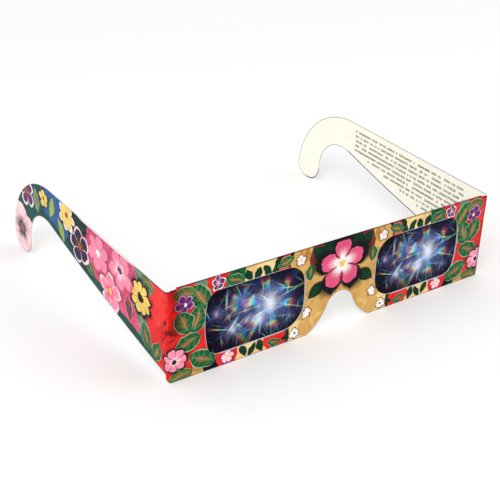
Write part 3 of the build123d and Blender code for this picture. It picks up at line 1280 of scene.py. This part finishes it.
@dataclass(frozen=True)
class DiffractionFilm:
    """Dark film that splits each light into rays, glows and small spectra."""

    name: str
    middle: tuple[float, float]
    lights: tuple[Starlight, ...] = (
        Starlight(6.0, 1.0, 1.0, 0.9, 1.0, 1.7, 1.0),
        Starlight(1.6, -4.4, 0.62, 0.5, 0.7, 30.3, 0.5, 5, 0.8, (0.95, 0.86, 0.78, 1.0)),
        Starlight(-9.6, -5.4, 0.4, 0.9, 0.7, 5.2, 0.15, 5, 1.1),
        Starlight(-5.4, 5.6, 0.5, 0.7, 0.12, 9.4, 0.7, 5, 0.0),
        Starlight(14.8, -7.4, 0.3, 0.7, 0.35, 14.1),
        Starlight(-16.4, 3.4, 0.34, 1.1, 0.7, 21.9, 0.1, 6, 0.9, (0.95, 0.5, 0.55, 1.0)),
    )
    streaks: tuple[tuple[float, float], ...] = ((0.12, 3.0), (0.2, 11.0), (0.08, 47.0))
    night: Colour = (0.002, 0.001, 0.007, 1.0)
    blue: Colour = (0.008, 0.012, 0.05, 1.0)
    purple: Colour = (0.042, 0.012, 0.066, 1.0)
    pale: Colour = (0.7, 0.85, 1.0, 1.0)
    window: tuple[float, float, float] = (21.0, 13.0, 1.0)
    # The film also glows faintly in its own colour: painted light
    gloss: Gloss = Gloss(0.2, 0.04, 0.0, 0.1, 0.14)

    def _streak(self, place: Wire, scale: float, seed: float) -> Wire:
        """Scatter short spectra, each lying its own way.

        Args:
            place: The place from the window's middle.
            scale: Streaks per millimetre.
            seed: A number that moves the pattern.

        Returns:
            The light that they add.
        """
        cell, arm = place.plus((seed, seed * 0.7, 0.0)).cells(scale)
        chance, lean, tone = cell.parts("Color")
        along, beside, _ = arm.turned(lean * tau).parts()
        streak = beside.bell(0.024 / scale) * along.bell(0.28 / scale) * chance.rise(0.2, 0.9)
        tint = (along * scale * 1.25 + 0.5).ramp(SPECTRUM)
        return mix(tone * 0.35, tint, self.pale).scaled(streak * 1.2)

    def material(self) -> bpy.types.Material:
        """Build the finish.

        Returns:
            The material.
        """
        x, _, z = fresh_shader(self.name).place_mm().parts()
        place = joined(x - self.middle[0], z - self.middle[1])
        colour = mix(place.noise(0.12, 4.0).rise(0.35, 0.7), self.night, self.blue)
        tint = place.plus((40.0, 0.0, 0.0)).noise(0.1)
        colour = mix(tint.rise(0.45, 0.7) * 0.7, colour, self.purple)
        for scale, seed in self.streaks:
            colour = colour.plus(self._streak(place, scale, seed))
        for light in self.lights:
            colour = light.over(place, colour)
        # Towards the edge of the window the film is dimmer
        reach = place.divided(self.window).length()
        colour = colour.scaled(1 - reach.rise(0.4, 1.2) * 0.76)
        # Bright places are held back, as in a photograph
        colour = colour.divided(colour.times_plus((0.5, 0.5, 0.5), (1.0, 1.0, 1.0)))
        ripple = place.noise(0.07, 1.0) * 0.6 + place.noise(0.5, 1.0) * 0.03
        return dress(self.gloss, colour, Normal=ripple.bump(0.35))


@dataclass(frozen=True)
class DriedGlue:
    """Milky dried glue with small bubbles."""

    name: str = "milky_glue"
    clear: Colour = screen_colour(238, 234, 214)
    milky: Colour = screen_colour(250, 249, 242)
    gloss: Gloss = Gloss(0.42, 0.4)

    def material(self) -> bpy.types.Material:
        """Build the finish.

        Returns:
            The material.
        """
        shader = fresh_shader(self.name)
        place = shader.place_mm()
        bubbles = shader.node("ShaderNodeTexVoronoi", sockets={"Vector": place, "Scale": 1.4})
        colour = mix(place.noise(0.4, 3.0).rise(0.35, 0.7), self.clear, self.milky)
        return dress(self.gloss, colour, Normal=(bubbles.rise(0.0, 0.4) * 0.06).bump(0.5))


def deselect_all() -> None:
    """Leave nothing selected."""
    bpy.ops.object.select_all(action="DESELECT")


def on_whole_mesh(operator: Callable[..., set[str]], **settings: Any) -> None:
    """Select all of the mesh in hand and run one operator on it."""
    bpy.ops.mesh.select_all(action="SELECT")
    operator(**settings)


def put_on(node_name: str, material: bpy.types.Material) -> None:
    """Give a carried-over piece its finish.

    Args:
        node_name: The piece's name.
        material: The finish.
    """
    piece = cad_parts[node_name]
    piece.data.materials.clear()
    piece.data.materials.append(material)
    LOG.info("dressed %s", node_name)


@dataclass
class FoldedFront:
    """The front: printed panel, fold, flap, films and glue."""

    glue_names: tuple[str, ...] = (
        "bridge_glue_patch",
        "left_end_glue_patch",
        "right_end_glue_patch",
        "upper_glue_line",
        "lower_glue_lines",
    )

    def build(self) -> None:
        """Dress each piece of the front."""
        put_on("front_panel", PrintedCard(CardFace.FRONT).material())
        put_on("top_fold", PrintedCard(CardFace.FOLD).material())
        put_on("rear_flap", PlainCard("flap_board").material())
        across, up = WINDOW_MIDDLE
        for name, middle in (("left", -across), ("right", across)):
            film = DiffractionFilm(f"{name}_film", (middle, up))
            put_on(f"{name}_lens_film", film.material())
        glue = DriedGlue().material()
        for name in self.glue_names:
            put_on(name, glue)


@dataclass(frozen=True)
class Dent:
    """A small push into the bend, in millimetres."""

    share: float
    up: float
    depth: float
    spread: float


@dataclass
class EarArm:
    """One arm, and the bent strip of card that joins it to the front. Sizes in millimetres."""

    name: str
    side: int
    splay: float
    dents: tuple[Dent, ...] = ()
    steps: int = 18
    levels: int = 60
    doubles: float = 0.004
    edge_facing: float = 0.7

    @property
    def hinge(self) -> Vector:
        """The middle of the bend."""
        return Vector((self.side * FRONT_HALF, CORNER_RADIUS, 0.0)) * MM

    @property
    def bend(self) -> float:
        """The angle that the strip turns through."""
        return radians(90.0 - self.splay)

    def _share(self, point: Vector) -> float:
        """How far round the bend a point is.

        Args:
            point: The point, in metres.

        Returns:
            0 at the front, 1 at the arm.
        """
        arm = point - self.hinge
        turned = atan2(arm.x * self.side, -arm.y)
        return max(0.0, min(1.0, turned / self.bend))

    def _spin_strip(self) -> bpy.types.Object:
        """Turn the card's section round the bend.

        Returns:
            The strip.
        """
        deselect_all()
        bpy.ops.mesh.primitive_grid_add(
            x_subdivisions=2,
            y_subdivisions=self.levels,
            size=1.0,
            location=(self.side * FRONT_HALF * MM, CARD / 2 * MM, PANEL_HEIGHT / 2 * MM),
            rotation=(pi / 2, 0.0, pi / 2),
        )
        strip = bpy.context.object
        strip.name = f"{self.name}_bent_corner"
        strip.scale = (CARD * MM, PANEL_HEIGHT * MM, 1.0)
        bpy.ops.object.transform_apply(location=True, rotation=True, scale=True)
        bpy.ops.object.mode_set(mode="EDIT")
        on_whole_mesh(
            bpy.ops.mesh.spin,
            steps=self.steps,
            angle=-self.side * self.bend,
            center=tuple(self.hinge),
            axis=(0.0, 0.0, 1.0),
        )
        on_whole_mesh(bpy.ops.mesh.remove_doubles, threshold=self.doubles * MM)
        # The foot of the strip climbs towards the arm
        on_whole_mesh(
            bpy.ops.mesh.bisect,
            plane_co=(self.hinge.x, 0.0, 0.0),
            plane_no=(0.0, -ARM_FOOT, CORNER_RADIUS),
            use_fill=True,
            clear_inner=True,
        )
        on_whole_mesh(bpy.ops.mesh.normals_make_consistent, inside=False)
        bpy.ops.object.mode_set(mode="OBJECT")
        return strip

    def _lay_print(self, strip: bpy.types.Object) -> None:
        """Give the strip its finishes, and note where it lies on the unfolded card.

        Args:
            strip: The strip.
        """
        finishes = (
            PrintedCard(CardFace.CREASE, self.side),
            CreaseLining(f"{self.name}_crease_lining"),
            PlainCard(f"{self.name}_crease_cut_edge", all_edge=True),
        )
        strip.data.materials.clear()
        for finish in finishes:
            strip.data.materials.append(finish.material())
        layer = strip.data.uv_layers.active or strip.data.uv_layers.new()
        layer.name = BEND_MAP
        middle_radius = (CORNER_RADIUS - CARD / 2) * MM
        for face in strip.data.polygons:
            flat = face.center - self.hinge
            outwards = Vector((flat.x, flat.y, 0.0)).normalized()
            far_out = hypot(flat.x, flat.y) > middle_radius
            on_edge = abs(face.normal.dot(outwards)) < self.edge_facing
            face.material_index = 2 if on_edge else (0 if far_out else 1)
            for loop in face.loop_indices:
                point = strip.data.vertices[strip.data.loops[loop].vertex_index].co
                across = FRONT_HALF + self._share(point) * CORNER_RADIUS * self.bend
                layer.data[loop].uv = (across / MAP_SPAN, point.z / MM / MAP_SPAN)

    def _push(self, strip: bpy.types.Object, dent: Dent) -> None:
        """Push one dent into the strip, softly all round.

        Args:
            strip: The strip.
            dent: The dent.
        """
        angle = dent.share * self.bend
        outwards = Vector((self.side * sin(angle), -cos(angle), 0.0))
        target = self.hinge + (outwards * CORNER_RADIUS + Vector((0.0, 0.0, dent.up))) * MM
        bpy.ops.object.mode_set(mode="EDIT")
        bpy.ops.mesh.select_all(action="DESELECT")
        bpy.ops.object.mode_set(mode="OBJECT")
        nearest = min(strip.data.vertices, key=lambda vertex: (vertex.co - target).length)
        nearest.select = True
        bpy.ops.object.mode_set(mode="EDIT")
        bpy.ops.transform.translate(
            value=tuple(outwards * -dent.depth * MM),
            use_proportional_edit=True,
            proportional_edit_falloff="SMOOTH",
            proportional_size=dent.spread * MM,
        )
        bpy.ops.object.mode_set(mode="OBJECT")

    def build(self) -> None:
        """Dress the arm and make the bent strip."""
        face = CardFace.LEFT_ARM if self.side < 0 else CardFace.RIGHT_ARM
        finish = PrintedCard(face, self.side, self.splay)
        put_on(f"{self.name}_temple", finish.material())
        strip = self._spin_strip()
        self._lay_print(strip)
        for dent in self.dents:
            self._push(strip, dent)
        bpy.ops.object.shade_smooth_by_angle(angle=radians(40.0))
        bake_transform(strip)
        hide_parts(f"{self.name}_crease")
        LOG.info("made %s with %d faces", strip.name, len(strip.data.polygons))


@dataclass(frozen=True)
class Lamp:
    """A soft lamp: where it stands, how wide and how bright it is."""

    name: str
    place: tuple[float, float, float]
    width: float
    power: float


@dataclass
class Studio:
    """The pale floor, the soft light and the camera.

    The camera looks from an azimuth and an elevation and is rolled, in degrees. Its offset, across,
    down and away from the part's origin, is in millimetres.
    """

    floor_size: float = 8.0
    floor_colour: Colour = (0.93, 0.93, 0.93, 1.0)
    floor_shade: Colour = (0.9, 0.9, 0.9, 1.0)
    sky: float = 0.9
    lamps: tuple[Lamp, ...] = (
        Lamp("key", (-0.75, -0.6, 0.9), 0.7, 5.0),
        Lamp("fill", (0.9, -0.5, 0.8), 0.9, 2.0),
    )
    aim: tuple[float, float, float] = (0.0, 0.05, 0.02)
    azimuth: float = -33.8008
    elevation: float = 28.5821
    roll: float = 1.4277
    offset: tuple[float, float, float] = (33.616, 28.3469, 363.5219)
    focal_pixels: float = 947.6704
    picture_pixels: float = 500.0
    sensor: float = 36.0
    nearest: float = 0.01

    def _floor(self) -> None:
        """Lay the floor."""
        deselect_all()
        bpy.ops.mesh.primitive_grid_add(x_subdivisions=8, y_subdivisions=8, size=self.floor_size)
        floor = bpy.context.object
        floor.name = "pale_floor"
        cloud = fresh_shader("pale_floor").place_mm().noise(0.002)
        colour = mix(cloud * 0.06, self.floor_colour, self.floor_shade)
        floor.data.materials.append(dress(Gloss(0.9, 0.0), colour))

    def _light(self) -> None:
        """Set the sky and the lamps."""
        scene = bpy.context.scene
        world = bpy.data.worlds.new("studio")
        world.use_nodes = True
        scene.world = world
        shader = Shader(world.node_tree)
        sky = shader.node("ShaderNodeBackground", (1.0, 1.0, 1.0, 1.0), self.sky)
        shader.node("ShaderNodeOutputWorld", sky)
        for lamp in self.lamps:
            deselect_all()
            bpy.ops.object.light_add(type="AREA", location=lamp.place)
            light = bpy.context.object
            light.name = f"lamp_{lamp.name}"
            towards = Vector(self.aim) - Vector(lamp.place)
            light.rotation_euler = towards.to_track_quat("-Z", "Y").to_euler()
            light.data.size = lamp.width
            light.data.energy = lamp.power
        scene.view_settings.view_transform = "Standard"

    def _camera(self) -> None:
        """Place the camera where the photograph was taken from."""
        turn, lift, roll = (radians(x) for x in (self.azimuth, self.elevation, self.roll))
        back = Vector((sin(turn) * cos(lift), -cos(turn) * cos(lift), sin(lift)))
        right = (-back).cross(Vector((0.0, 0.0, 1.0))).normalized()
        up = right.cross(-back)
        rolled_right = right * cos(roll) + up * sin(roll)
        rolled_up = up * cos(roll) - right * sin(roll)
        across, down, away = self.offset
        place = (back * away - rolled_right * across + rolled_up * down) * MM
        deselect_all()
        bpy.ops.object.camera_add()
        camera = bpy.context.object
        camera.name = "camera"
        camera.data.sensor_width = self.sensor
        camera.data.lens = self.focal_pixels * self.sensor / self.picture_pixels
        camera.data.clip_start = self.nearest
        turned = Matrix((rolled_right, rolled_up, back)).transposed().to_4x4()
        camera.matrix_world = Matrix.Translation(place) @ turned
        bpy.context.scene.camera = camera

    def build(self) -> None:
        """Make the floor, the light and the camera."""
        self._floor()
        self._light()
        self._camera()
        LOG.info("set the studio")


def main() -> None:
    """Build the glasses and the studio."""
    logging.basicConfig(level=logging.INFO, format="%(name)s: %(message)s")
    Studio().build()
    FoldedFront().build()
    EarArm("left", -1, 3.0, (Dent(0.5, 20.5, 0.6, 2.8), Dent(0.85, 24.0, 0.3, 2.0))).build()
    EarArm("right", 1, -1.0, (Dent(0.5, 27.0, 0.12, 2.0),)).build()


if __name__ == "__main__":
    main()
